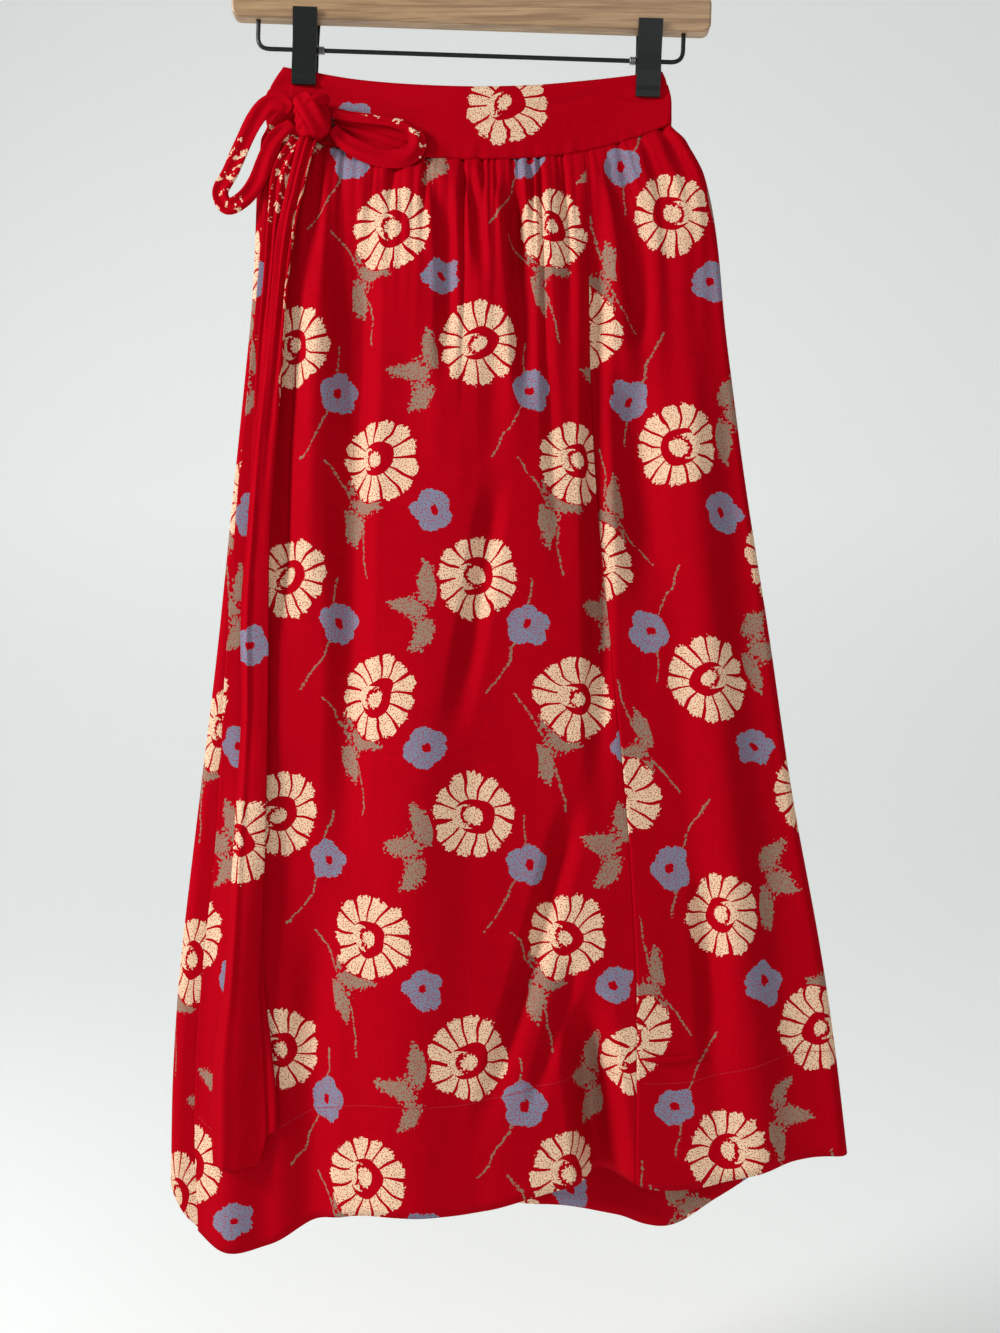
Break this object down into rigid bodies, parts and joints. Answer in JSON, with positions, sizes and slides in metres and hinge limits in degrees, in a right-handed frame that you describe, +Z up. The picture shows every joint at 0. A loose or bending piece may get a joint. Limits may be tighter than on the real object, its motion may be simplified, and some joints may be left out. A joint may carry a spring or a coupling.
{
  "type": "wrap skirt on a clip hanger",
  "caption": "Long gathered wrap skirt with a waistband, side bow and hanging ties, held by two clips on the rail of a wooden hanger with a wire hook.",
  "frame": {"origin": "inside top of the hanger's hook, where a rail holds it", "axes": "+X to the right as seen from the front, +Y towards the back of the skirt, +Z up"},
  "size_m": [0.5036, 0.0824, 1.0032],
  "materials": {
    "printed_cloth": "soft sheen, printed",
    "hanger_wood": "satin varnish",
    "black_metal": "semi-gloss",
    "spring_metal": "bright"
  },
  "bodies": {
    "root": {"front_panel": "printed_cloth", "back_panel": "printed_cloth", "side_panel": "printed_cloth", "under_panel": "printed_cloth", "waistband_front": "printed_cloth", "waistband_back": "printed_cloth", "waistband_under": "printed_cloth", "tie_tail_front": "printed_cloth", "tie_tail_back": "printed_cloth", "bow_knot": "printed_cloth", "bow_loop_left": "printed_cloth", "bow_loop_right": "printed_cloth", "hanger_bar": "hanger_wood", "hanger_hook": "black_metal", "hanger_rail": "black_metal", "clip_left_front": "black_metal", "clip_left_back": "black_metal", "clip_left_spring": "spring_metal", "clip_right_front": "black_metal", "clip_right_back": "black_metal", "clip_right_spring": "spring_metal"}
  },
  "joints": []
}
